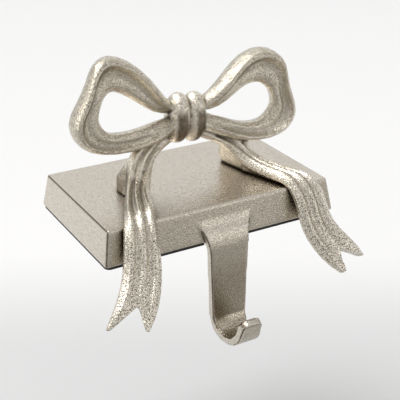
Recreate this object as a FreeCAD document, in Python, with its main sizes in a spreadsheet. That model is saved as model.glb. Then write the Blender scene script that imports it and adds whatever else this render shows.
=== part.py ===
import FreeCAD, Part
import math
import os
import Sketcher
from FreeCAD import Placement, Rotation, Vector

# Mantel stocking holder: a drafted cast block with a hook strap that hangs from its front,
# a soft pad under it, and a cast ribbon bow screwed down on its top.
# Frame: origin at the middle of the pad's underside, +X to the right as seen from the front,
# +Y to the back, +Z up. Lengths are in millimetres, angles in degrees.

doc = FreeCAD.newDocument("stocking_holder")
sheet = doc.addObject("Spreadsheet::Sheet", "Sizes")

SIZES = {
    # block
    "top_length": 133.5,
    "top_depth": 82.5,
    "block_height": 18.7,
    "draft_angle": 9.35,
    "corner_round": 1.3,
    "edge_round": 0.8,
    # pad under the block
    "pad_thickness": 1.5,
    "pad_inset": 0.6,
    "pad_corner": 3.0,
    "pad_notch_width": 26.0,
    "pad_notch_depth": 2.0,
    # hook strap, side view: shoulder, straight run, bend and tip
    "strap_thickness": 4.6,
    "strap_standoff": 4.1,
    "shoulder_drop": 25.7,
    "shoulder_radius": 27.0,
    "shoulder_sweep": 31.0,
    "root_radius": 21.0,
    "root_sweep": 23.0,
    "bend_drop": 61.8,
    "bend_radius": 8.9,
    "tip_lean": 20.0,
    "tip_length": 9.7,
    # hook strap, front and top view: flare, taper and tip
    "strap_half_width": 10.0,
    "strap_taper": 1.5,
    "flare_drop": 29.7,
    "flare_radius": 57.0,
    "flare_sweep": 27.0,
    "tip_half_width": 5.8,
    "tip_corner": 4.2,
    # where the bow stands on the block, and how far it is turned
    "bow_setback": 41.25,
    "bow_roll": 5.66,
    "knot_height": 37.7,
    # knot: two wraps side by side
    "wrap_width": 10.6,
    "wrap_pitch": 9.8,
    "knot_drop": 2.4,
    "knot_half_height": 14.2,
    "knot_half_depth": 9.8,
    # section of the loops
    "neck_depth": 11.5,
    "cheek_depth": 14.6,
    "right_crown_depth": 14.6,
    "left_crown_depth": 10.8,
    "right_loop_bulge": 3.8,
    "left_loop_bulge": 3.5,
    "loop_dish": 2.2,
    "eye_roll": 1.0,
    "roll_share": 0.42,
    "eye_wall": 6.0,
    # section and cut end of the tails
    "tail_thickness": 4.6,
    "flute_depth": 0.9,
    "tail_crown": 0.9,
    "tail_side_round": 0.5,
    "tail_back_inset": 1.4,
    "tail_tip_width": 1.6,
    "notch_start": 0.14,
    "notch_bevel": 1.0,
    # feet under the tails
    "foot_splay": 0.3,
    "foot_inset": 0.06,
    "foot_sink": 2.5,
    "heel_height": 8.0,
    "heel_ease": 1.5,
    "heel_inner_across": 27.8,
    "heel_inner_behind": 10.4,
    "heel_outer_across": 42.3,
    "heel_outer_behind": 2.6,
    "heel_ahead": 2.0,
    # screws that hold the bow down
    "screw_across": 36.0,
    "screw_ahead": 4.0,
    "screw_diameter": 5.0,
    "screw_grip": 7.5,
    "head_diameter": 8.5,
    "head_height": 5.0,
    "head_recess": 6.0,
    "socket_radius": 2.3,
    "socket_depth": 2.6,
    "point_chamfer": 0.8,
    "head_clearance": 0.5,
    "shank_clearance": 0.25,
    "thread_clearance": 0.05,
    "thread_runout": 1.0,
}

# Stations of the right loop: a point on the ribbon's front rim and one on the edge of its eye,
# each as across, behind and above the middle of the bow. The left loop is its mirror image.
LOOP_STATIONS = {
    "root_top": ((4.5, -2.5, 2.8), (5.5, 1.5, 0.8)),
    "neck_top": ((12.0, -5.0, 4.5), (15.5, -0.5, 0.8)),
    "strand_top": ((24.0, -7.8, 16.3), (28.8, -0.2, 7.1)),
    "crown": ((38.6, -4.8, 27.9), (40.0, 1.4, 13.2)),
    "peak": ((48.0, -5.5, 30.0), (45.5, -0.5, 14.4)),
    "shoulder": ((56.6, -9.6, 24.0), (51.0, -3.6, 10.6)),
    "dent": ((59.4, -10.2, 13.4), (53.0, -5.2, 6.2)),
    "cheek": ((64.8, -10.9, -0.3), (53.2, -5.4, 1.0)),
    "corner": ((59.6, -11.4, -10.9), (49.0, -5.0, -5.0)),
    "belly": ((43.5, -11.4, -14.4), (40.0, -5.0, -7.2)),
    "strand_low": ((26.3, -13.4, -10.7), (27.8, -6.8, -4.7)),
    "neck_low": ((13.0, -9.4, -6.4), (16.0, -4.0, -1.6)),
    "root_low": ((5.0, -3.0, -4.6), (5.5, 0.0, -1.8)),
}

# Stations of the right tail: a point on each edge of its upper face, each as across and behind
# the middle of the bow, and above the top of the block. The left tail is its mirror image.
TAIL_STATIONS = {
    "tail_root": ((5.0, 1.0, 23.5), (9.0, 2.0, 36.0)),
    "under_loop": ((16.6, -1.5, 18.4), (23.5, -1.0, 30.0)),
    "turn": ((23.0, -5.9, 14.6), (35.0, -4.8, 21.0)),
    "landing": ((29.2, -13.8, 9.0), (39.2, -5.6, 9.6)),
    "run": ((33.2, -20.6, 6.3), (44.0, -14.2, 5.4)),
    "waist": ((37.5, -34.1, 5.5), (51.3, -28.1, 3.7)),
    "brow": ((40.1, -41.5, 2.7), (57.0, -41.6, 3.2)),
    "drop": ((42.1, -48.7, -6.0), (60.2, -48.3, -5.0)),
    "fall": ((43.4, -54.0, -18.4), (63.3, -52.4, -18.0)),
    "flare": ((49.2, -62.8, -33.0), (71.2, -59.9, -30.0)),
    "tail_tip": ((59.8, -71.2, -43.8), (79.3, -63.3, -41.4)),
}

POINT_WORDS = ("across", "behind", "above")

# How far a ribbon runs, and how far it turns, from one section to the next.
LOOP_REACH = 12.0
LOOP_TURN = 24.0
TAIL_REACH = 10.0
TAIL_TURN = 18.0
CURVE_STEPS = 240

# How finely each section is drawn, as shares of its width.
BULGE_STEPS = 6
INNER_PARTS = (0.14, 0.28, 0.42, 0.6, 0.78, 0.92)
BACK_PARTS = (0.8, 0.5, 0.1)
FLUTES = 3
FLUTE_STEPS = 4
WRAP_STEPS = 6
FOOT_STEPS = 6

# Shapes that are cut or joined reach this far past each other.
OVERLAP = 1.0
NEAR = 0.01
NOTCH_REACH = 1.5
HEEL_DEEP = 0.82
TIP_EDGE_SPREAD = 0.04


def write_sizes():
    """Puts every driving size in the spreadsheet under an alias of its own."""
    cells = dict(SIZES)
    for stations, sides in ((LOOP_STATIONS, ("rim", "eye")), (TAIL_STATIONS, ("inner", "outer"))):
        for name, points in stations.items():
            for side, point in zip(sides, points):
                for word, value in zip(POINT_WORDS, point):
                    cells[f"{name}_{side}_{word}"] = value
    for row, (alias, value) in enumerate(cells.items(), start=1):
        sheet.set(f"A{row}", alias)
        sheet.set(f"B{row}", str(value))
        sheet.setAlias(f"B{row}", alias)
    doc.recompute()


def size(alias):
    return float(sheet.get(alias))


def station_points(stations, side):
    """The points along one side of the stations, read back from the spreadsheet."""
    return [Vector(*[size(f"{name}_{side}_{word}") for word in POINT_WORDS]) for name in stations]


write_sizes()

BLOCK_BOTTOM = size("pad_thickness")
BLOCK_TOP = BLOCK_BOTTOM + size("block_height")
BLOCK_FRONT = -size("top_depth") / 2
OUTSET = size("block_height") * math.tan(math.radians(size("draft_angle")))
BOW_MIDDLE = Vector(0, BLOCK_FRONT + size("bow_setback"), BLOCK_TOP)
KNOT_MIDDLE = BOW_MIDDLE + Vector(0, 0, size("knot_height"))
BOW_ROLL = Rotation(Vector(0, 1, 0), size("bow_roll"))
BOTTOM_GROWTH = "2 * Sizes.block_height * tan(Sizes.draft_angle * 1 deg)"


def origin_plane(body, role):
    return next(feature for feature in body.Origin.OriginFeatures if feature.Role == role)


def rectangle_sketch(body, name, level, length, depth):
    """A rectangle centred on the body's vertical axis, bound to three expressions."""
    sketch = body.newObject("Sketcher::SketchObject", name)
    sketch.AttachmentSupport = [(origin_plane(body, "XY_Plane"), "")]
    sketch.MapMode = "FlatFace"
    sketch.setExpression("AttachmentOffset.Base.z", level)
    corners = [Vector(-1, -1), Vector(1, -1), Vector(1, 1), Vector(-1, 1)]
    for index in range(4):
        sketch.addGeometry(Part.LineSegment(corners[index], corners[(index + 1) % 4]))
    for index in range(4):
        sketch.addConstraint(Sketcher.Constraint("Coincident", index, 2, (index + 1) % 4, 1))
    for index, way in enumerate(("Horizontal", "Vertical", "Horizontal", "Vertical")):
        sketch.addConstraint(Sketcher.Constraint(way, index))
    sketch.addConstraint(Sketcher.Constraint("Symmetric", 0, 1, 1, 2, -1, 1))
    for name, way, side, expression in (
        ("length", "DistanceX", 0, length),
        ("depth", "DistanceY", 1, depth),
    ):
        number = sketch.addConstraint(Sketcher.Constraint(way, side, 1, side, 2, 2))
        sketch.renameConstraint(number, name)
        sketch.setExpression(f"Constraints.{name}", expression)
    return sketch


def edges_where(shape, test):
    """The names of the edges whose middle point passes the test."""
    names = []
    for index, edge in enumerate(shape.Edges, start=1):
        middle = edge.valueAt((edge.FirstParameter + edge.LastParameter) / 2)
        if test(middle):
            names.append(f"Edge{index}")
    return names


def between(level, low, high):
    return low + NEAR < level < high - NEAR


def add_fillet(body, base, name, radius, test):
    fillet = body.newObject("PartDesign::Fillet", name)
    fillet.Base = (base, edges_where(base.Shape, test))
    fillet.setExpression("Radius", f"Sizes.{radius}")
    doc.recompute()
    return fillet


def cast_block(name):
    """The block's drafted body, drawn at its top and padded down to its underside."""
    body = doc.addObject("PartDesign::Body", name)
    level = "Sizes.pad_thickness + Sizes.block_height"
    sketch = rectangle_sketch(body, name + "_top", level, "Sizes.top_length", "Sizes.top_depth")
    pad = body.newObject("PartDesign::Pad", name + "_draft")
    pad.Profile = sketch
    pad.Reversed = True
    pad.setExpression("Length", "Sizes.block_height")
    pad.setExpression("TaperAngle", "Sizes.draft_angle")
    doc.recompute()
    return body, pad


def rounded_block():
    body, pad = cast_block("block")
    corners = add_fillet(
        body, pad, "block_corners", "corner_round",
        lambda middle: between(middle.z, BLOCK_BOTTOM, BLOCK_TOP),
    )
    add_fillet(body, corners, "block_rim", "edge_round", lambda middle: middle.z > BLOCK_TOP - NEAR)
    return body


def mantel_pad():
    """The soft sheet under the block, notched where the strap runs up in front of it."""
    body = doc.addObject("PartDesign::Body", "pad_body")
    length = f"Sizes.top_length + {BOTTOM_GROWTH} - 2 * Sizes.pad_inset"
    depth = f"Sizes.top_depth + {BOTTOM_GROWTH} - 2 * Sizes.pad_inset"
    pad = body.newObject("PartDesign::Pad", "pad_sheet")
    pad.Profile = rectangle_sketch(body, "pad_outline", "0", length, depth)
    pad.setExpression("Length", "Sizes.pad_thickness")
    doc.recompute()
    add_fillet(
        body, pad, "pad_corners", "pad_corner", lambda middle: between(middle.z, 0, BLOCK_BOTTOM)
    )
    notch = doc.addObject("Part::Box", "pad_notch")
    notch.setExpression("Length", "Sizes.pad_notch_width")
    notch.setExpression("Width", f"({depth}) / 2 + Sizes.pad_notch_depth")
    notch.setExpression("Height", "Sizes.pad_thickness")
    notch.setExpression("Placement.Base.x", "-Sizes.pad_notch_width / 2")
    notch.setExpression("Placement.Base.y", f"-({depth})")
    return cut("mantel_pad", body, notch)


def shape_feature(name, shape, placement=None):
    feature = doc.addObject("Part::Feature", name)
    feature.Shape = shape
    if placement is not None:
        feature.Placement = placement
    return feature


def polar(centre, radius, degrees):
    """A point in a side view, turned from straight back towards straight up."""
    turn = math.radians(degrees)
    return centre + Vector(0, radius * math.cos(turn), radius * math.sin(turn))


def arc_edge(centre, radius, start, end):
    middle = (start + end) / 2
    ends = [polar(centre, radius, angle) for angle in (start, middle, end)]
    return Part.Arc(*ends).toShape()


def hook_side_face():
    """The strap's side view: a hollow root, a round shoulder, a straight run, a bend and a tip."""
    thickness = size("strap_thickness")
    face = BLOCK_FRONT - OUTSET - size("strap_standoff")
    front_radius = size("shoulder_radius")
    back_radius = front_radius - thickness
    inner_radius = size("bend_radius")
    outer_radius = inner_radius + thickness
    shoulder = Vector(0, face + front_radius, BLOCK_TOP - size("shoulder_drop"))
    bend = Vector(0, face - inner_radius, BLOCK_TOP - size("bend_drop"))
    top = 180 - size("shoulder_sweep")
    root = polar(shoulder, front_radius + size("root_radius"), top)
    root_start = top - 180
    root_end = root_start + size("root_sweep")
    end = size("tip_lean") - 180
    lean = math.radians(size("tip_lean"))
    tip = Vector(0, -math.sin(lean), math.cos(lean)) * size("tip_length")
    inner_end = polar(bend, inner_radius, end)
    outer_end = polar(bend, outer_radius, end)
    buried = polar(root, size("root_radius"), root_end)
    edges = [
        arc_edge(root, size("root_radius"), root_end, root_start),
        arc_edge(shoulder, front_radius, top, 180),
        Part.makeLine(polar(shoulder, front_radius, 180), polar(bend, inner_radius, 0)),
        arc_edge(bend, inner_radius, 0, end),
        Part.makeLine(inner_end, inner_end + tip),
        Part.makeLine(inner_end + tip, outer_end + tip),
        Part.makeLine(outer_end + tip, outer_end),
        arc_edge(bend, outer_radius, end, 0),
        Part.makeLine(polar(bend, outer_radius, 0), polar(shoulder, back_radius, 180)),
        arc_edge(shoulder, back_radius, 180, top),
        Part.makeLine(polar(shoulder, back_radius, top), buried),
    ]
    return Part.Face(Part.Wire(edges))


def hook_reach():
    """How far forward and how far down the strap goes, past its straight run."""
    lean = math.radians(size("tip_lean"))
    outer_radius = size("bend_radius") + size("strap_thickness")
    forward = size("bend_radius") + outer_radius * math.cos(lean) + size("tip_length") * math.sin(lean)
    return forward, outer_radius


def hook_front_face():
    """The strap's front view: a slow taper upwards, then a flare into the block."""
    low = BLOCK_TOP - size("bend_drop") - hook_reach()[1] - OVERLAP
    flare_level = BLOCK_TOP - size("flare_drop")
    half_low = size("strap_half_width")
    half_flare = half_low + size("strap_taper")
    radius = size("flare_radius")
    sweep = math.radians(size("flare_sweep"))
    right = [Vector(half_low, 0, low)]
    for turn in (0, sweep / 2, sweep):
        across = half_flare + radius * (1 - math.cos(turn))
        right.append(Vector(across, 0, flare_level + radius * math.sin(turn)))
    left = [Vector(-point.x, 0, point.z) for point in right]
    edges = [
        Part.makeLine(left[0], right[0]),
        Part.makeLine(right[0], right[1]),
        Part.Arc(*right[1:]).toShape(),
        Part.makeLine(right[3], left[3]),
        Part.Arc(*left[:0:-1]).toShape(),
        Part.makeLine(left[1], left[0]),
    ]
    return Part.Face(Part.Wire(edges))


def hook_top_face():
    """The strap's top view: full width back to the block, narrowing along the bend to the tip."""
    face = BLOCK_FRONT - OUTSET - size("strap_standoff")
    tip = face - hook_reach()[0]
    wide = 2 * size("strap_half_width") + size("flare_radius")
    outline = [
        (wide, 0),
        (wide, face),
        (size("strap_half_width"), face),
        (size("tip_half_width"), tip),
        (size("tip_half_width"), tip - size("strap_thickness")),
    ]
    right = [Vector(across, along, 0) for across, along in outline]
    left = [Vector(-across, along, 0) for across, along in reversed(outline)]
    return Part.Face(Part.makePolygon(right + left + right[:1]))


def extruded(name, face, direction, length):
    """A face drawn in one view, extruded both ways along that view's direction."""
    outline = shape_feature(name + "_outline", face)
    solid = doc.addObject("Part::Extrusion", name)
    solid.Base = outline
    solid.DirMode = "Custom"
    solid.Dir = direction
    solid.LengthFwd = length
    solid.LengthRev = length
    solid.Solid = True
    return solid


def hook_strap():
    """The strap is what its side, front and top views have in common."""
    forward, down = hook_reach()
    face = BLOCK_FRONT - OUTSET - size("strap_standoff")
    across = size("strap_half_width") + size("flare_radius")
    height = size("bend_drop") + down + BLOCK_TOP
    views = [
        extruded("hook_side", hook_side_face(), Vector(1, 0, 0), across),
        extruded("hook_front", hook_front_face(), Vector(0, 1, 0), forward + down - face),
        extruded("hook_top", hook_top_face(), Vector(0, 0, 1), height),
    ]
    strap = doc.addObject("Part::MultiCommon", "hook_strap_square")
    strap.Shapes = views
    doc.recompute()
    thickness = size("strap_thickness")
    bend_ahead = face - size("bend_radius")
    bend_level = BLOCK_TOP - size("bend_drop")

    def at_tip_corner(middle):
        return middle.y < bend_ahead and middle.z > bend_level and abs(middle.x) > NEAR

    names = edges_where(strap.Shape, at_tip_corner)
    edges = [strap.Shape.getElement(name) for name in names]
    across_tip = [
        name for name, edge in zip(names, edges) if abs(edge.Length / thickness - 1) < TIP_EDGE_SPREAD
    ]
    rounded = doc.addObject("Part::Fillet", "hook_strap")
    rounded.Base = strap
    radius = size("tip_corner")
    rounded.Edges = [(int(name[4:]), radius, radius) for name in across_tip]
    doc.recompute()
    return rounded


def rail(points, parameters):
    curve = Part.BSplineCurve()
    curve.interpolate(Points=points, Parameters=parameters)
    return curve


def paired_rails(first, second):
    """Two smooth curves through paired points, with one parameter that keeps the pairs together."""
    parameters = [0.0]
    for index in range(1, len(first)):
        steps = [side[index].distanceToPoint(side[index - 1]) for side in (first, second)]
        parameters.append(parameters[-1] + sum(steps) / 2)
    return rail(first, parameters), rail(second, parameters), parameters


def spaced(curve, end, reach, turn):
    """Parameters along a curve, closer together where it turns."""
    marks = [0.0]
    moved = 0.0
    for index in range(CURVE_STEPS):
        here = end * index / CURVE_STEPS
        ahead = end * (index + 1) / CURVE_STEPS
        bent = curve.tangent(here)[0].getAngle(curve.tangent(ahead)[0])
        moved += curve.value(here).distanceToPoint(curve.value(ahead)) / reach
        moved += math.degrees(bent) / turn
        if moved >= 1:
            marks.append(ahead)
            moved = 0.0
    return marks[:-1] + [end]


def ribbon_solid(rings):
    """A solid lofted straight from ring to ring, each ring a flat polygon round the ribbon."""
    return Part.makeLoft([Part.makePolygon(ring + ring[:1]) for ring in rings], True, True)


def clamped(share):
    return min(max(share, 0), 1)


def loop_section(rim, eye, crown_depth, bulge):
    """One section of the ribbon: a bulged outer face, a thin front rim, and a dished inner
    face that ends in the wall of the eye."""
    band = Vector(rim.x - eye.x, 0, rim.z - eye.z)
    width = band.Length
    neck = size("neck_top_rim_across")
    strand = size("strand_top_rim_across")
    share = clamped((abs(rim.x) - neck) / (strand - neck))
    height = clamped(rim.z / size("peak_rim_above"))
    full_depth = size("cheek_depth") + (crown_depth - size("cheek_depth")) * height
    depth = size("neck_depth") + (full_depth - size("neck_depth")) * share
    wall = size("eye_wall") * (1 + share) / 2
    roll_share = size("roll_share")

    def at(part, behind):
        return Vector(eye.x, behind, eye.z) + band * part

    def dished(part):
        if part < roll_share:
            relief = -size("eye_roll") * math.sin(math.pi * part / roll_share)
        else:
            relief = size("loop_dish") * math.sin(math.pi * (part - roll_share) / (1 - roll_share))
        return at(part, eye.y + (rim.y - eye.y) * part + relief * share)

    def bulged(part):
        turn = math.pi * part
        return at(1 + bulge * math.sin(turn) / width, rim.y + depth * (1 - math.cos(turn)) / 2)

    far, middle, near = BACK_PARTS
    back = rim.y + depth
    wall_back = eye.y + wall
    section = [bulged(index / BULGE_STEPS) for index in range(BULGE_STEPS)]
    section += [at(far, back), at(middle, (back + wall_back) / 2), at(near, wall_back)]
    section += [at(0, eye.y + wall / 2), at(0, eye.y)]
    return section + [dished(part) for part in INNER_PARTS]


def loop_ribbon(word, side):
    """A loop: out from the knot, round its eye and back, as one smooth ribbon."""
    rims, eyes = [
        [Vector(side * point.x, point.y, point.z) for point in station_points(LOOP_STATIONS, edge)]
        for edge in ("rim", "eye")
    ]
    rim_rail, eye_rail, parameters = paired_rails(rims, eyes)
    depth = size(f"{word}_crown_depth")
    bulge = size(f"{word}_loop_bulge")
    places = spaced(rim_rail, parameters[-1], LOOP_REACH, LOOP_TURN)
    return ribbon_solid(
        [loop_section(rim_rail.value(at), eye_rail.value(at), depth, bulge) for at in places]
    )


def knot_wrap(side):
    """One wrap of the knot: a band with a full round rim, an oval in side view."""
    radius = size("wrap_width") / 2
    middle = side * size("wrap_pitch") / 2
    ovals = []
    for index in range(WRAP_STEPS + 1):
        turn = math.pi * (index + 0.5) / (WRAP_STEPS + 1)
        rim = radius * (1 - math.sin(turn))
        centre = Vector(middle - radius * math.cos(turn), 0, -size("knot_drop"))
        high = centre + Vector(0, 0, size("knot_half_height") - rim)
        deep = centre + Vector(0, size("knot_half_depth") - rim, 0)
        ovals.append(Part.Wire(Part.Ellipse(high, deep, centre).toShape()))
    return Part.makeLoft(ovals, True, True)


def bow_head():
    """Two loops and the knot's two wraps, rolled and lifted into place together."""
    placement = Placement(KNOT_MIDDLE, BOW_ROLL)
    pieces = []
    for word, side in (("left", -1), ("right", 1)):
        pieces.append(shape_feature(word + "_loop", loop_ribbon(word, side), placement))
        pieces.append(shape_feature(word + "_wrap", knot_wrap(side), placement))
    return fused("bow_head", pieces)


class TailFrame:
    """The tail's place at one parameter: its inner edge, the way across and the way up."""

    def __init__(self, inner_rail, outer_rail, at):
        self.inner = inner_rail.value(at)
        self.cross = outer_rail.value(at) - self.inner
        along = inner_rail.tangent(at)[0] + outer_rail.tangent(at)[0]
        self.up = along.cross(self.cross)
        self.up.normalize()

    def point(self, part, lift):
        return self.inner + self.cross * part + self.up * lift


def tail_section(frame):
    """One section of the ribbon tail: three round flutes above, a flat back below."""
    thickness = size("tail_thickness")
    side = size("tail_side_round") / frame.cross.Length
    inset = size("tail_back_inset") / frame.cross.Length
    count = FLUTES * FLUTE_STEPS
    top = []
    for index in range(count + 1):
        part = index / count
        crown = size("tail_crown") * 4 * part * (1 - part)
        flute = size("flute_depth") * (1 - math.cos(2 * math.pi * FLUTES * part)) / 2
        top.append(frame.point(part, crown + flute))
    back = [
        frame.point(1 + side, -thickness / 2),
        frame.point(1 - inset, -thickness),
        frame.point(inset, -thickness),
        frame.point(-side, -thickness / 2),
    ]
    return top + back


def closed(points):
    return Part.makePolygon(points + points[:1])


def eased(corners, ease):
    """The same outline with each corner cut off by a short straight length."""
    points = []
    for index, corner in enumerate(corners):
        for other in (corners[index - 1], corners[(index + 1) % len(corners)]):
            way = other - corner
            points.append(corner + way * (ease / way.Length))
    return closed(points)


def unit(vector):
    return vector / vector.Length


def tail_notch(inner_rail, outer_rail, parameters):
    """The swallow-tail cut: a wedge from the middle of the flare to both tips, its walls
    bevelled so that it is wider in front."""
    flare, last = parameters[-2:]
    start = TailFrame(inner_rail, outer_rail, flare + (last - flare) * size("notch_start"))
    end = TailFrame(inner_rail, outer_rail, last)
    apex = start.point(1 / 2, 0)
    edge = size("tail_tip_width") / end.cross.Length
    inner = apex + (end.point(edge, 0) - apex) * NOTCH_REACH
    outer = apex + (end.point(1 - edge, 0) - apex) * NOTCH_REACH
    facing = unit((outer - apex).cross(inner - apex))
    back_way = unit(apex - (inner + outer) / 2)
    side_way = unit(outer - inner)
    thickness = size("tail_thickness")

    def triangle(lift):
        shift = facing * lift
        grow = size("notch_bevel") * (lift / thickness)
        corners = [apex + back_way * grow, inner - side_way * grow, outer + side_way * grow]
        return closed([corner + shift for corner in corners])

    return Part.makeLoft([triangle(-2 * thickness), triangle(2 * thickness)], True, True)


def tail_ribbon(inner_rail, outer_rail, parameters):
    places = spaced(inner_rail, parameters[-1], TAIL_REACH, TAIL_TURN)
    return ribbon_solid([tail_section(TailFrame(inner_rail, outer_rail, at)) for at in places])


def foot_section(frame):
    """A section of the foot, from inside the ribbon down past the top of the block."""
    inset = size("foot_inset")
    high_inner = frame.point(inset, -size("foot_sink"))
    high_outer = frame.point(1 - inset, -size("foot_sink"))
    across = unit(Vector(frame.cross.x, frame.cross.y, 0))

    def sole(high):
        spread = across * (size("foot_splay") * (high.z + OVERLAP))
        return Vector(high.x, high.y, -OVERLAP) + spread

    return closed([sole(high_inner), sole(high_outer), high_outer, high_inner])


def tail_foot(inner_rail, outer_rail, parameters):
    """The foot under the tail where it runs over the block."""
    names = list(TAIL_STATIONS)
    start = parameters[names.index("landing")]
    end = parameters[names.index("brow")]
    sections = []
    for index in range(FOOT_STEPS + 1):
        at = start + (end - start) * index / FOOT_STEPS
        sections.append(foot_section(TailFrame(inner_rail, outer_rail, at)))
    return Part.makeLoft(sections, True, True)


def tail_heel(inner_rail, outer_rail, parameters):
    """The heel behind the foot: it stands up from the block and leans to the ribbon above."""
    names = list(TAIL_STATIONS)
    thickness = size("tail_thickness")
    landing = TailFrame(inner_rail, outer_rail, parameters[names.index("landing")])
    meeting = (parameters[names.index("under_loop")] + parameters[names.index("turn")]) / 2
    high = TailFrame(inner_rail, outer_rail, meeting)
    splay = size("foot_splay")
    inner = landing.inner
    outer = landing.inner + landing.cross

    def level(above, lean):
        return eased([
            Vector(size("heel_inner_across") - lean, size("heel_inner_behind"), above),
            Vector(size("heel_outer_across"), size("heel_outer_behind"), above),
            Vector(outer.x + splay * (outer.z - above), outer.y - size("heel_ahead"), above),
            Vector(inner.x + splay * (inner.z - above), inner.y, above),
        ], size("heel_ease"))

    inset = size("foot_inset")
    upper = eased([
        high.point(inset, -HEEL_DEEP * thickness),
        high.point(1 - inset, -HEEL_DEEP * thickness),
        high.point(1 - inset, -(1 - HEEL_DEEP) * thickness),
        high.point(inset, -(1 - HEEL_DEEP) * thickness),
    ], (1 - HEEL_DEEP) * thickness)
    height = size("heel_height")
    return Part.makeLoft([level(-OVERLAP, 0), level(height, splay * height), upper], True, True)


def right_tail():
    """The right tail with its foot, cut off where it sits on the block and drilled for its screw."""
    rails = paired_rails(station_points(TAIL_STATIONS, "inner"), station_points(TAIL_STATIONS, "outer"))
    pieces = {
        "tail_blade": tail_ribbon(*rails).cut(tail_notch(*rails)),
        "tail_foot": tail_foot(*rails),
        "tail_heel": tail_heel(*rails),
    }
    placement = Placement(BOW_MIDDLE, Rotation())
    features = [shape_feature(name, shape, placement) for name, shape in pieces.items()]
    thread = cylinder(
        "tail_thread", 1, "Sizes.screw_diameter / 2 + Sizes.thread_clearance",
        "Sizes.block_height + Sizes.screw_grip + Sizes.thread_runout", "Sizes.pad_thickness",
    )
    seat = cast_block("bow_seat")[0]
    return cut("right_tail", fused("tail_casting", features), fused("tail_cuts", [seat, thread]))


def cylinder(name, side, radius, height, level):
    """An upright cylinder on a screw's axis, its sizes and place bound to expressions."""
    solid = doc.addObject("Part::Cylinder", name)
    solid.setExpression("Radius", radius)
    solid.setExpression("Height", height)
    solid.setExpression("Placement.Base.x", f"{side} * Sizes.screw_across")
    solid.setExpression("Placement.Base.y", "Sizes.bow_setback - Sizes.top_depth / 2 - Sizes.screw_ahead")
    solid.setExpression("Placement.Base.z", level)
    return solid


HEAD_SEAT = "(Sizes.pad_thickness + Sizes.head_recess)"
SCREW_LENGTH = "(Sizes.block_height - Sizes.head_recess + Sizes.screw_grip)"


def bow_screw(name, side):
    """A socket-head screw, its head up inside the block and its thread in the bow's foot."""
    shank = cylinder(name + "_shank", side, "Sizes.screw_diameter / 2", SCREW_LENGTH, HEAD_SEAT)
    doc.recompute()
    end_level = shank.Placement.Base.z + float(shank.Height)
    point = doc.addObject("Part::Chamfer", name + "_point")
    point.Base = shank
    chamfer = size("point_chamfer")
    ends = edges_where(shank.Shape, lambda middle: abs(middle.z - end_level) < NEAR)
    point.Edges = [(int(edge[4:]), chamfer, chamfer) for edge in ends]
    head_level = f"{HEAD_SEAT} - Sizes.head_height"
    head = cylinder(name + "_head", side, "Sizes.head_diameter / 2", "Sizes.head_height", head_level)
    socket = doc.addObject("Part::Prism", name + "_socket")
    socket.Polygon = 6
    socket.setExpression("Circumradius", "Sizes.socket_radius")
    socket.setExpression("Height", "Sizes.socket_depth")
    socket.setExpression("Placement.Base.x", f"{side} * Sizes.screw_across")
    socket.setExpression("Placement.Base.y", "Sizes.bow_setback - Sizes.top_depth / 2 - Sizes.screw_ahead")
    socket.setExpression("Placement.Base.z", f"{HEAD_SEAT} - Sizes.head_height")
    solid = doc.addObject("Part::MultiFuse", name + "_solid")
    solid.Shapes = [point, head]
    screw = doc.addObject("Part::Cut", name)
    screw.Base = solid
    screw.Tool = socket
    return screw


def fused(name, pieces):
    union = doc.addObject("Part::MultiFuse", name)
    union.Shapes = pieces
    union.Refine = False
    return union


def cut(name, base, tool):
    result = doc.addObject("Part::Cut", name)
    result.Base = base
    result.Tool = tool
    result.Refine = False
    return result


def base_with_hook():
    holes = []
    for word, side in (("left", -1), ("right", 1)):
        holes.append(cylinder(
            f"{word}_recess", side, "Sizes.head_diameter / 2 + Sizes.head_clearance",
            "Sizes.head_recess", "Sizes.pad_thickness",
        ))
        holes.append(cylinder(
            f"{word}_bore", side, "Sizes.screw_diameter / 2 + Sizes.shank_clearance",
            "Sizes.block_height", "Sizes.pad_thickness",
        ))
    casting = fused("base_casting", [rounded_block(), hook_strap()])
    return cut("base_with_hook", casting, fused("base_holes", holes))


def bow():
    """The whole bow as one casting: its head and two tails, the left tail a mirror of the right."""
    tail = right_tail()
    other_tail = doc.addObject("Part::Mirroring", "left_tail")
    other_tail.Source = tail
    other_tail.Base = BOW_MIDDLE
    other_tail.Normal = Vector(1, 0, 0)
    return fused("bow", [bow_head(), tail, other_tail])


nodes = {
    "base_with_hook": base_with_hook(),
    "mantel_pad": mantel_pad(),
    "bow": bow(),
    "bow_screw_left": bow_screw("screw_left", -1),
    "bow_screw_right": bow_screw("screw_right", 1),
}
doc.recompute()

for item in doc.Objects:
    if "Invalid" in item.State or "Error" in item.State:
        raise RuntimeError(f"{item.Name} did not build: {item.State}")

os.makedirs("parts", exist_ok=True)
for label, node in nodes.items():
    node.Label = label
    if node.Shape.isNull() or not node.Shape.isValid() or len(node.Shape.Solids) != 1:
        raise RuntimeError(f"{label} is not one valid solid")
    node.Shape.exportStep(f"parts/{label}.step")
    box = node.Shape.BoundBox
    print(f"{label}: {node.Shape.Volume:.0f} mm3, {box.XLength:.1f} x {box.YLength:.1f} x {box.ZLength:.1f}")
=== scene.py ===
import math

import bpy
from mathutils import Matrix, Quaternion, Vector


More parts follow.
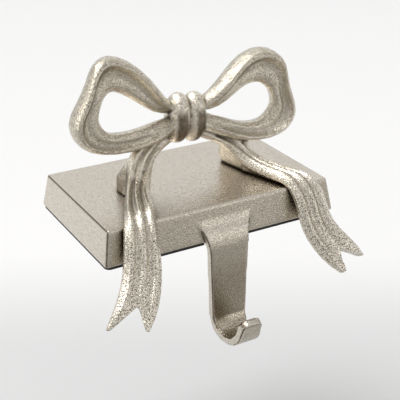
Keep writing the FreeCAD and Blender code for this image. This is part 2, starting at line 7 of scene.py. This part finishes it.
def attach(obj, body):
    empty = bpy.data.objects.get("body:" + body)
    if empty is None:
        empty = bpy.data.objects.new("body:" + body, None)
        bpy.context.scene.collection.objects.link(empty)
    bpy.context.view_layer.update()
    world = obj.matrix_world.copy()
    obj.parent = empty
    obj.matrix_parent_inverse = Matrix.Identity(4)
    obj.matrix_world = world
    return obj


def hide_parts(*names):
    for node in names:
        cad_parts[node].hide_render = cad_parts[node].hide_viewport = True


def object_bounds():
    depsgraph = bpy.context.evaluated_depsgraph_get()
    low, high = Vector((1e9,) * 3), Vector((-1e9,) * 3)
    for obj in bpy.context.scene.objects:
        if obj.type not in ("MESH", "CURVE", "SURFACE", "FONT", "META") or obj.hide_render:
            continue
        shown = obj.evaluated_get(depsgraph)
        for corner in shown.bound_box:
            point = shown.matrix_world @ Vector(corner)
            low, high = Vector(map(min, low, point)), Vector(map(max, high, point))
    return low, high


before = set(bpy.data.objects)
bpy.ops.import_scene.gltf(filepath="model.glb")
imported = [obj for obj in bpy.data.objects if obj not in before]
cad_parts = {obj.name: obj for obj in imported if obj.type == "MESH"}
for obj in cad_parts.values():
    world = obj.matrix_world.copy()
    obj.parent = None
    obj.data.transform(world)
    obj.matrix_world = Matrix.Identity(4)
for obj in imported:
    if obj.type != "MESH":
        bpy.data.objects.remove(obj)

cad_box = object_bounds()
MM = 0.001
IMAGE_SIDE = 400

# The camera, as fitted to the photograph. Its sensor's width is in millimetres.
CAMERA_PLACE = Vector((-226.95, -421.68, 228.79)) * MM
CAMERA_TURN = 29.22
CAMERA_DIP = 25.01
CAMERA_ROLL = -0.28
FOCAL_PIXELS = 931.37
SENSOR_WIDTH = 36.0
CLIP_START = 0.01

# The light and the dark tone of each finish; on the metals the dark one shows in the grain's specks
# and as painted shade in hollows and creases.
BOW_LIGHT = (0.95, 0.885, 0.765, 1)
BOW_DARK = (0.1, 0.075, 0.05, 1)
BASE_LIGHT = (0.73, 0.67, 0.585, 1)
BASE_DARK = (0.26, 0.22, 0.17, 1)
STEEL_LIGHT = (0.52, 0.52, 0.52, 1)
STEEL_DARK = (0.30, 0.30, 0.30, 1)
PAD_LIGHT = (0.035, 0.032, 0.03, 1)
PAD_DARK = (0.015, 0.014, 0.013, 1)

# The tones that dim single places of the castings: painted dark reflection on the loops, the knot's
# faces, the front and the end edges, painted shade on the feet's outer sides, and a slight dimming
# in the hook's bend.
LOOP_PAINTED_REFLECTION = (0.8, 0.79, 0.765, 1)
KNOT_PAINTED_REFLECTION = (0.29, 0.255, 0.22, 1)
FOOT_PAINTED_SHADE = (0.45, 0.42, 0.39, 1)
FRONT_PAINTED_REFLECTION = (0.5, 0.48, 0.43, 1)
EDGE_PAINTED_REFLECTION = (0.3, 0.27, 0.24, 1)
WELL_TONE = (0.95, 0.92, 0.86, 1)

# The cast grain is fine sand over a share of lumps.
SAND_NOISE = {"Detail": 1.0, "Roughness": 0.6}
LUMP_NOISE = {"Detail": 2.0, "Roughness": 0.5}
LUMP_SHARE = 0.5
PAD_SCALES = (3000, 900)
PAD_BUMP = (0.5, 0.1 * MM)
PAD_ROUGHNESS = 0.85

# Each pair is a smooth step: the value at which a mask is 0, then the one at which it is 1.
# UP, ACROSS and ALONG are places, and WAY is a part of the surface's outward direction.
SPECK_STEP = (0.5, 0.41)
SPECK_OPEN = (0.7, 0.98)
# The next two steps set the painted shade in hollows and in creases.
HOLLOW_PAINTED_SHADE = (0.35, 1.0)
CREASE_PAINTED_SHADE = (0.42, 0.505)
TAIL_UP = (24 * MM, 12 * MM)
LOOP_ACROSS = (9 * MM, 13 * MM)
LOOP_UP = (40 * MM, 48 * MM)
WRAP_OFF = (4 * MM, 2 * MM)
WRAP_WAY = (-0.4, -0.8)
WRAP_UP = (64 * MM, 58 * MM)
FOOT_UP = (37 * MM, 31 * MM)
FOOT_OUTWARD = (22 * MM, 32 * MM)
FOOT_ALONG = (-40 * MM, -30 * MM)
FACE_WAY = (-0.9, -0.99)
FACE_UP = (5 * MM, -25 * MM)
EDGE_WAY = (0.28, 0.45)
WELL_WAY = (0.2, 0.5)
WELL_UP = (-36 * MM, -44 * MM)

# How far from the middle each of the knot's wraps lies, and how much of the front's painted dark
# reflection is left high up.
WRAP_PLACE = 5.8 * MM
FACE_LEAST = 0.5

# The stage, its tones from front to far, of which the front and near greys are painted shade, and
# the steps between them from front to back.
STAGE_FRONT_PAINTED_SHADE = (0.4, 0.4, 0.395, 1)
STAGE_NEAR_PAINTED_SHADE = (0.70, 0.706, 0.706, 1)
STAGE_FAR = (0.89, 0.89, 0.89, 1)
FRONT_FADE = (-0.24, -0.1)
FAR_FADE = (0.09, 0.27)
STAGE_SIDE = 6
STAGE_ROUGHNESS = 0.9
STAGE_SHEEN = 0.1
FLOOR_GAP = 110 * MM

# The lights. A box is a square lamp turned to the target.
SKY_STRENGTH = 1.5
SKY_ANGLE = 36
SKY_WAY = (0.35, -0.25, -1)
BOX_TARGET = (0, 0, 0.03)
BOX_TONE = (1, 0.99, 0.97)
LEFT_PLACE = (-0.75, 0.1, 0.35)
LEFT_WIDTH = 0.4
LEFT_WATTS = 1.0
FRONT_PLACE = (0.4, -0.78, 0.08)
FRONT_WIDTH = 0.3
FRONT_WATTS = 0.3
ROOM_TONE = (1, 0.99, 0.98, 1)
ROOM_STRENGTH = 0.62

# The castings' skins: the size of the mesh, how it is eased, and what counts as one point.
BOW_VOXEL = 0.62 * MM
BOW_ROUNDS = 4
BASE_VOXEL = 0.8 * MM
BASE_ROUNDS = 3
EASE_FACTOR = 0.5
WELD_GAP = 0.01 * MM

# The colour sockets of a mix node.
COLOUR_A = 6
COLOUR_B = 7
COLOUR_OUT = 2

# The middle lines of the three ribs on the right tail, in millimetres from the root to the tip.
TAIL_RIBS = (
    (
        (17.6, -1.9, 40.6), (20.9, -3.5, 38.9), (23.9, -5.4, 36.9), (26.8, -7.8, 34.3),
        (29.4, -10.6, 31.5), (31.8, -13.7, 29.1), (33.9, -17.3, 27.5), (35.9, -21.4, 26.6),
        (37.6, -26, 26.2), (39.1, -30.7, 26), (40.5, -34.9, 25.8), (41.9, -38.7, 25),
        (43.1, -42.4, 23), (44.2, -46, 19.4), (45.1, -49, 14.9), (45.6, -51.1, 10.2),
        (46.2, -52.8, 5.6), (47, -54.7, 1.2), (48.3, -56.9, -3.2), (50.1, -59.6, -7.3),
        (52.4, -62.3, -11.3), (54.6, -64.9, -15.3), (57.1, -67.4, -19.1), (60, -69.7, -22.6),
    ),
    (
        (19.8, -2.1, 44.6), (24, -3.9, 42.3), (27.7, -5.6, 39.6), (30.7, -7.1, 36.1),
        (33, -8.6, 32.4), (35.1, -11, 29.6), (37.3, -14.8, 27.7), (39.6, -19.2, 26.6),
        (41.5, -23.6, 26), (43.4, -28.2, 25.8), (45.2, -32.9, 25.7), (47.1, -37.8, 25.4),
        (48.7, -42.4, 23.7), (50, -46.2, 20.3), (51, -49, 15.9), (51.8, -51, 11.1),
        (52.5, -52.6, 6.4), (53.5, -54.2, 2), (55.1, -56.4, -2.1), (57, -58.8, -5.9),
        (59.4, -61.3, -9.6),
    ),
    (
        (22.2, -1.6, 48.4), (27.3, -3.5, 45.4), (31.7, -5.1, 41.8), (34.7, -5.8, 37.4),
        (36.5, -6.1, 32.8), (38.3, -8.1, 29.2), (40.8, -12.5, 27.1), (43.3, -17.3, 25.8),
        (45.6, -21.7, 25.1), (47.8, -26.3, 24.7), (50.1, -31.6, 24.8), (52.5, -37.4, 24.8),
        (54.5, -42.7, 23.4), (56, -46.3, 20.1), (57.1, -48.7, 15.6), (58, -50.4, 10.7),
        (59, -51.9, 5.9), (60.4, -53.6, 1.5), (62.2, -55.7, -2.4), (64.5, -58.1, -6),
        (67.1, -60.4, -9.4), (70.3, -62.3, -12.8), (73.7, -63.4, -16.4), (76.9, -63.7, -20.2),
    ),
)
RIB_RADIUS = 1.6
RIB_TAPER = 3
RIB_ORDER = 3
RIB_ROUNDNESS = 4


def deselect_all():
    bpy.ops.object.select_all(action="DESELECT")


def make_active(piece):
    deselect_all()
    piece.select_set(True)
    bpy.context.view_layer.objects.active = piece


def tail_ribs():
    """The ribs of both tails as round beads, sunk most of their depth in the tails. Each narrows
    to half its radius over its last points."""
    beads = []
    for side in (-1, 1):
        for line in TAIL_RIBS:
            deselect_all()
            bpy.ops.curve.primitive_nurbs_path_add(location=(0, 0, 0))
            curve = bpy.context.active_object.data
            spline = curve.splines[0]
            spline.points.add(len(line) - len(spline.points))
            for index, (across, along, up) in enumerate(line):
                points_after = len(line) - 1 - index
                spline.points[index].co = (side * across * MM, along * MM, up * MM, 1)
                spline.points[index].radius = min(1, (points_after + RIB_TAPER) / (2 * RIB_TAPER))
            spline.use_endpoint_u = True
            spline.order_u = RIB_ORDER
            curve.bevel_depth = RIB_RADIUS * MM
            curve.bevel_resolution = RIB_ROUNDNESS
            curve.use_fill_caps = True
            bpy.ops.object.convert(target="MESH")
            beads.append(bpy.context.active_object)
    return beads


def cast_copy(node, name, voxel, rounds, extras=()):
    """A copy of a CAD node with its triangles merged, remeshed fine and eased like cast metal."""
    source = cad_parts[node]
    piece = source.copy()
    piece.data = source.data.copy()
    for key in list(piece.keys()):
        del piece[key]
    piece.name = name
    piece.parent = None
    bpy.context.collection.objects.link(piece)
    make_active(piece)
    bpy.ops.object.mode_set(mode="EDIT")
    bpy.ops.mesh.select_all(action="SELECT")
    bpy.ops.mesh.remove_doubles(threshold=WELD_GAP)
    bpy.ops.object.mode_set(mode="OBJECT")
    for extra in extras:
        extra.select_set(True)
    if extras:
        bpy.ops.object.join()
    remesh = piece.modifiers.new("cast_skin", "REMESH")
    remesh.mode = "VOXEL"
    remesh.voxel_size = voxel
    ease = piece.modifiers.new("eased_edges", "SMOOTH")
    ease.factor = EASE_FACTOR
    ease.iterations = rounds
    for modifier in ("cast_skin", "eased_edges"):
        bpy.ops.object.modifier_apply(modifier=modifier)
    bpy.ops.object.shade_smooth()
    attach(piece, "root")
    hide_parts(node)
    return piece


def node_of(tree, kind, **values):
    made = tree.nodes.new(kind)
    for name, value in values.items():
        made.inputs[name].default_value = value
    return made


def math_node(tree, operation, first, second=0):
    """A math node fed by sockets or plain numbers."""
    made = tree.nodes.new("ShaderNodeMath")
    made.operation = operation
    for socket, value in zip(made.inputs, (first, second)):
        if isinstance(value, (int, float)):
            socket.default_value = value
        else:
            tree.links.new(value, socket)
    return made.outputs["Value"]


def product(tree, first, *others):
    for other in others:
        first = math_node(tree, "MULTIPLY", first, other)
    return first


def between(tree, mask, low, high):
    """A value that goes from low to high as the mask goes from 0 to 1."""
    made = math_node(tree, "MULTIPLY_ADD", mask, high - low)
    made.node.inputs[2].default_value = low
    return made


def ramp(tree, value, step):
    """A smooth step from 0 at the first value of the pair to 1 at the second."""
    made = node_of(tree, "ShaderNodeMapRange", **{"From Min": step[0], "From Max": step[1]})
    made.interpolation_type = "SMOOTHSTEP"
    tree.links.new(value, made.inputs["Value"])
    return made.outputs["Result"]


def axes_of(tree, vector):
    made = tree.nodes.new("ShaderNodeSeparateXYZ")
    tree.links.new(vector, made.inputs["Vector"])
    return made.outputs


def mixed_tint(tree, low, high):
    tint = tree.nodes.new("ShaderNodeMix")
    tint.data_type = "RGBA"
    tint.inputs[COLOUR_A].default_value = low
    tint.inputs[COLOUR_B].default_value = high
    return tint


def dimmed(tree, colour, mask, tone):
    """A colour multiplied by a tone where the mask is 1."""
    dim = tree.nodes.new("ShaderNodeMix")
    dim.data_type = "RGBA"
    dim.blend_type = "MULTIPLY"
    dim.inputs[COLOUR_B].default_value = tone
    tree.links.new(mask, dim.inputs["Factor"])
    tree.links.new(colour, dim.inputs[COLOUR_A])
    return dim.outputs[COLOUR_OUT]


def new_group(name, outputs, inputs=()):
    """A node group with its sockets, the inputs of its end and the outputs of its place."""
    group = bpy.data.node_groups.new(name, "ShaderNodeTree")
    for way, sockets in (("INPUT", inputs), ("OUTPUT", outputs)):
        for socket in sockets:
            group.interface.new_socket(name=socket, in_out=way, socket_type="NodeSocketFloat")
    end = group.nodes.new("NodeGroupOutput")
    place = group.nodes.new("ShaderNodeTexCoord")
    return group, end.inputs, place.outputs


def grain_group():
    """Cast grain: fine sand over lumps as a height, and the sand's pits as a mask of specks."""
    group, end, place = new_group("cast_grain", ("Height", "Speck"), ("Sand Scale", "Lump Scale"))
    start = group.nodes.new("NodeGroupInput")
    sand = node_of(group, "ShaderNodeTexNoise", **SAND_NOISE)
    lump = node_of(group, "ShaderNodeTexNoise", **LUMP_NOISE)
    for texture, scale in ((sand, "Sand Scale"), (lump, "Lump Scale")):
        group.links.new(place["Object"], texture.inputs["Vector"])
        group.links.new(start.outputs[scale], texture.inputs["Scale"])
    height = math_node(group, "MULTIPLY", lump.outputs["Fac"], LUMP_SHARE)
    height = math_node(group, "ADD", height, sand.outputs["Fac"])
    group.links.new(height, end["Height"])
    group.links.new(ramp(group, sand.outputs["Fac"], SPECK_STEP), end["Speck"])
    return group


def coarse_group():
    """Where the bow's grain is coarse, on the tails' lower parts and the knot's two faces, then
    the loops and the knot's faces alone, which carry painted dark reflection, and the feet's
    outer sides, which carry painted shade."""
    group, end, place = new_group("coarse_places", ("Coarse", "Loop", "Foot Side", "Knot Face"))
    spot = axes_of(group, place["Object"])
    way = axes_of(group, place["Normal"])
    across = math_node(group, "ABSOLUTE", spot["X"])
    off_wrap = math_node(group, "ABSOLUTE", math_node(group, "SUBTRACT", across, WRAP_PLACE))
    wrap_front = product(group, ramp(group, off_wrap, WRAP_OFF), ramp(group, way["Y"], WRAP_WAY))
    # The knot's lower front faces carry a painted dark reflection.
    knot = product(group, wrap_front, ramp(group, spot["Z"], WRAP_UP))
    group.links.new(knot, end["Knot Face"])
    loop = product(group, ramp(group, across, LOOP_ACROSS), ramp(group, spot["Z"], LOOP_UP))
    group.links.new(loop, end["Loop"])
    tails = ramp(group, spot["Z"], TAIL_UP)
    group.links.new(math_node(group, "MAXIMUM", knot, tails), end["Coarse"])
    outward = product(group, spot["X"], way["X"])
    foot = product(group, ramp(group, spot["Z"], FOOT_UP), ramp(group, outward, FOOT_OUTWARD))
    foot = product(group, foot, ramp(group, spot["Y"], FOOT_ALONG))
    group.links.new(foot, end["Foot Side"])
    return group


def front_group():
    """Where a surface faces the front, more so low down, and where it turns away to either end,
    both carrying painted dark reflection, and the inside of the hook's bend, which is the only
    coarse place."""
    group, end, place = new_group("facing_front", ("Coarse", "Front", "End Edge", "Hook Well"))
    spot = axes_of(group, place["Object"])
    way = axes_of(group, place["Normal"])
    low = between(group, ramp(group, spot["Z"], FACE_UP), FACE_LEAST, 1)
    group.links.new(product(group, ramp(group, way["Y"], FACE_WAY), low), end["Front"])
    well = product(group, ramp(group, way["Z"], WELL_WAY), ramp(group, spot["Z"], WELL_UP))
    for socket in ("Hook Well", "Coarse"):
        group.links.new(well, end[socket])
    # The edges where a surface turns to either end carry a painted dark reflection.
    across = math_node(group, "ABSOLUTE", way["X"])
    forward = math_node(group, "MULTIPLY", way["Y"], -1)
    turned = product(group, across, math_node(group, "MAXIMUM", way["Z"], forward))
    group.links.new(ramp(group, turned, EDGE_WAY), end["End Edge"])
    return group


GRAIN = grain_group()
COARSE = coarse_group()
FRONT = front_group()


def group_node(tree, group):
    made = tree.nodes.new("ShaderNodeGroup")
    made.node_tree = group
    return made


def grained(tree, scales, bump):
    """A group node of cast grain, and the normal that its height gives."""
    grain = group_node(tree, GRAIN)
    for socket, scale in zip(("Sand Scale", "Lump Scale"), scales):
        grain.inputs[socket].default_value = scale
    relief = node_of(tree, "ShaderNodeBump", Strength=bump[0], Distance=bump[1])
    tree.links.new(grain.outputs["Height"], relief.inputs["Height"])
    return grain, relief


def new_material(name):
    """A material with its node tree and its shader."""
    material = bpy.data.materials.new(name)
    material.use_nodes = True
    tree = material.node_tree
    return material, tree, tree.nodes["Principled BSDF"]


def cast_metal(name, light, dark, scales, bump, roughness, recess, speck, places, tones):
    """Satin cast metal: grain in its height, dark specks where it lies open, painted shade in
    hollows and creases, and dimmed by a tone in each of its places.

    The scales are the sand's and the lumps', the bump is its strength and depth, and the recess
    is how wide a hollow counts. The roughness is that of clear metal and of specks, and the
    speck is how strong they are on plain and on coarse places."""
    material, tree, shader = new_material(name)
    shader.inputs["Metallic"].default_value = 1.0
    grain, relief = grained(tree, scales, bump)
    tree.links.new(relief.outputs["Normal"], shader.inputs["Normal"])
    open_air = node_of(tree, "ShaderNodeAmbientOcclusion", Distance=recess).outputs["AO"]
    where = group_node(tree, places)
    strength = between(tree, where.outputs["Coarse"], *speck)
    specks = product(tree, grain.outputs["Speck"], strength, ramp(tree, open_air, SPECK_OPEN))
    clear = math_node(tree, "SUBTRACT", 1.0, specks)
    bend = tree.nodes.new("ShaderNodeNewGeometry").outputs["Pointiness"]
    # Painted shade in hollows and creases, times the clear places between the grain's specks.
    shade = product(tree, ramp(tree, open_air, HOLLOW_PAINTED_SHADE), clear, ramp(tree, bend, CREASE_PAINTED_SHADE))
    tint = mixed_tint(tree, dark, light)
    tree.links.new(shade, tint.inputs["Factor"])
    colour = tint.outputs[COLOUR_OUT]
    # Each place's tone is painted dark reflection or painted shade, except the hook's bend.
    for socket, tone in tones.items():
        colour = dimmed(tree, colour, where.outputs[socket], tone)
    tree.links.new(colour, shader.inputs["Base Color"])
    gloss = node_of(tree, "ShaderNodeMapRange", **{"To Min": roughness[0], "To Max": roughness[1]})
    tree.links.new(grain.outputs["Speck"], gloss.inputs["Value"])
    tree.links.new(gloss.outputs["Result"], shader.inputs["Roughness"])
    return material


def soft_sheet(name, light, dark):
    """The dark pad: a fine, dull grain."""
    material, tree, shader = new_material(name)
    shader.inputs["Roughness"].default_value = PAD_ROUGHNESS
    grain, relief = grained(tree, PAD_SCALES, PAD_BUMP)
    tint = mixed_tint(tree, light, dark)
    tree.links.new(grain.outputs["Speck"], tint.inputs["Factor"])
    tree.links.new(tint.outputs[COLOUR_OUT], shader.inputs["Base Color"])
    tree.links.new(relief.outputs["Normal"], shader.inputs["Normal"])
    return material


def dress(piece, material):
    piece.data.materials.clear()
    piece.data.materials.append(material)


def dress_object():
    bow_metal = cast_metal(
        "bow_metal",
        light=BOW_LIGHT,
        dark=BOW_DARK,
        scales=(1700, 420),
        bump=(1.0, 0.3 * MM),
        roughness=(0.1, 0.26),
        recess=3.5 * MM,
        speck=(0.6, 0.84),
        places=COARSE,
        # Painted dark reflection on the loops and the knot's faces, painted shade on the feet's
        # outer sides.
        tones={"Loop": LOOP_PAINTED_REFLECTION, "Foot Side": FOOT_PAINTED_SHADE, "Knot Face": KNOT_PAINTED_REFLECTION},
    )
    base_metal = cast_metal(
        "base_metal",
        light=BASE_LIGHT,
        dark=BASE_DARK,
        scales=(1700, 450),
        bump=(0.8, 0.2 * MM),
        roughness=(0.2, 0.38),
        recess=5 * MM,
        speck=(0.4, 1.0),
        places=FRONT,
        # Painted dark reflection on the front and the end edges, and a slight dimming in the hook's
        # bend.
        tones={"Front": FRONT_PAINTED_REFLECTION, "End Edge": EDGE_PAINTED_REFLECTION, "Hook Well": WELL_TONE},
    )
    steel = cast_metal(
        "screw_steel",
        light=STEEL_LIGHT,
        dark=STEEL_DARK,
        scales=(3500, 900),
        bump=(0.2, 0.05 * MM),
        roughness=(0.25, 0.4),
        recess=2 * MM,
        speck=(0.2, 0.2),
        places=FRONT,
        tones={},
    )
    pad = soft_sheet("pad_foam", PAD_LIGHT, PAD_DARK)
    bow = cast_copy("bow", "cast_bow", BOW_VOXEL, BOW_ROUNDS, tail_ribs())
    dress(bow, bow_metal)
    base = cast_copy("base_with_hook", "cast_base", BASE_VOXEL, BASE_ROUNDS)
    dress(base, base_metal)
    dress(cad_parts["bow"], bow_metal)
    dress(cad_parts["base_with_hook"], base_metal)
    for side in ("left", "right"):
        dress(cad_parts[f"bow_screw_{side}"], steel)
    dress(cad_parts["mantel_pad"], pad)


def stage_material():
    """A plain sheet that is pale behind the object, with painted shade that makes it a little
    greyer under it and greyer still well in front of it, where the camera doesn't look."""
    material, tree, shader = new_material("pale_stage")
    shader.inputs["Roughness"].default_value = STAGE_ROUGHNESS
    shader.inputs["Specular IOR Level"].default_value = STAGE_SHEEN
    place = tree.nodes.new("ShaderNodeTexCoord")
    along = axes_of(tree, place.outputs["Object"])["Y"]
    # The front and near greys are painted shade.
    front_tint = mixed_tint(tree, STAGE_FRONT_PAINTED_SHADE, STAGE_NEAR_PAINTED_SHADE)
    far_tint = mixed_tint(tree, STAGE_NEAR_PAINTED_SHADE, STAGE_FAR)
    for fade, tint in ((FRONT_FADE, front_tint), (FAR_FADE, far_tint)):
        tree.links.new(ramp(tree, along, fade), tint.inputs["Factor"])
    tree.links.new(front_tint.outputs[COLOUR_OUT], far_tint.inputs[COLOUR_A])
    tree.links.new(far_tint.outputs[COLOUR_OUT], shader.inputs["Base Color"])
    return material


def backdrop_material():
    """The far backdrop, evenly pale as the camera and the polished metal see it."""
    material, tree, shader = new_material("pale_backdrop")
    shader.inputs["Base Color"].default_value = STAGE_FAR
    shader.inputs["Roughness"].default_value = STAGE_ROUGHNESS
    even = node_of(tree, "ShaderNodeEmission", Color=STAGE_FAR, Strength=1.0)
    rays = tree.nodes.new("ShaderNodeLightPath").outputs
    seen = math_node(tree, "MAXIMUM", rays["Is Camera Ray"], rays["Is Glossy Ray"])
    seen = math_node(tree, "MAXIMUM", seen, rays["Is Transmission Ray"])
    blend = tree.nodes.new("ShaderNodeMixShader")
    tree.links.new(seen, blend.inputs["Fac"])
    tree.links.new(shader.outputs["BSDF"], blend.inputs[1])
    tree.links.new(even.outputs["Emission"], blend.inputs[2])
    tree.links.new(blend.outputs["Shader"], tree.nodes["Material Output"].inputs["Surface"])
    return material


def build_stage():
    """A pale floor under the hook and a far backdrop, both square to the camera."""
    lowest = cad_box[0][2] - FLOOR_GAP
    turn = math.radians(-CAMERA_TURN)
    deselect_all()
    bpy.ops.mesh.primitive_plane_add(size=STAGE_SIDE, location=(0, 0, lowest), rotation=(0, 0, turn))
    floor = bpy.context.active_object
    floor.name = "floor"
    floor.data.materials.append(stage_material())
    deselect_all()
    place = Quaternion((0, 0, 1), turn) @ Vector((0, STAGE_SIDE / 2, 0))
    place.z = lowest + STAGE_SIDE / 2
    upright = (math.radians(90), 0, turn)
    bpy.ops.mesh.primitive_plane_add(size=STAGE_SIDE, location=place, rotation=upright)
    backdrop = bpy.context.active_object
    backdrop.name = "backdrop"
    backdrop.data.materials.append(backdrop_material())


def soft_box(name, place, width, watts):
    light = bpy.data.lights.new(name, "AREA")
    light.shape = "SQUARE"
    light.size = width
    light.energy = watts
    light.color = BOX_TONE
    lamp = bpy.data.objects.new(name, light)
    lamp.location = place
    lamp.rotation_euler = (Vector(BOX_TARGET) - Vector(place)).to_track_quat("-Z", "Y").to_euler()
    bpy.context.collection.objects.link(lamp)


def build_lights():
    """A wide soft sky light, soft boxes on the left and low in front, and a plain pale room."""
    sun = bpy.data.lights.new("sky", "SUN")
    sun.energy = SKY_STRENGTH
    sun.angle = math.radians(SKY_ANGLE)
    lamp = bpy.data.objects.new("sky", sun)
    lamp.rotation_euler = Vector(SKY_WAY).to_track_quat("-Z", "Y").to_euler()
    bpy.context.collection.objects.link(lamp)
    soft_box("left_box", LEFT_PLACE, LEFT_WIDTH, LEFT_WATTS)
    soft_box("front_box", FRONT_PLACE, FRONT_WIDTH, FRONT_WATTS)
    world = bpy.data.worlds.new("studio")
    world.use_nodes = True
    bpy.context.scene.world = world
    background = world.node_tree.nodes["Background"]
    background.inputs["Color"].default_value = ROOM_TONE
    background.inputs["Strength"].default_value = ROOM_STRENGTH


def build_camera():
    camera = bpy.data.cameras.new("camera")
    camera.sensor_width = SENSOR_WIDTH
    camera.lens = FOCAL_PIXELS / IMAGE_SIDE * SENSOR_WIDTH
    camera.clip_start = CLIP_START
    seat = bpy.data.objects.new("camera", camera)
    yaw = math.radians(CAMERA_TURN)
    dip = math.radians(CAMERA_DIP)
    look = Vector((math.sin(yaw) * math.cos(dip), math.cos(yaw) * math.cos(dip), -math.sin(dip)))
    seat.location = CAMERA_PLACE
    turn = look.to_track_quat("-Z", "Y")
    seat.rotation_mode = "QUATERNION"
    seat.rotation_quaternion = turn @ Quaternion((0, 0, 1), math.radians(CAMERA_ROLL))
    bpy.context.collection.objects.link(seat)
    bpy.context.scene.camera = seat


bpy.context.scene.view_settings.view_transform = "Standard"
dress_object()
build_stage()
build_lights()
build_camera()
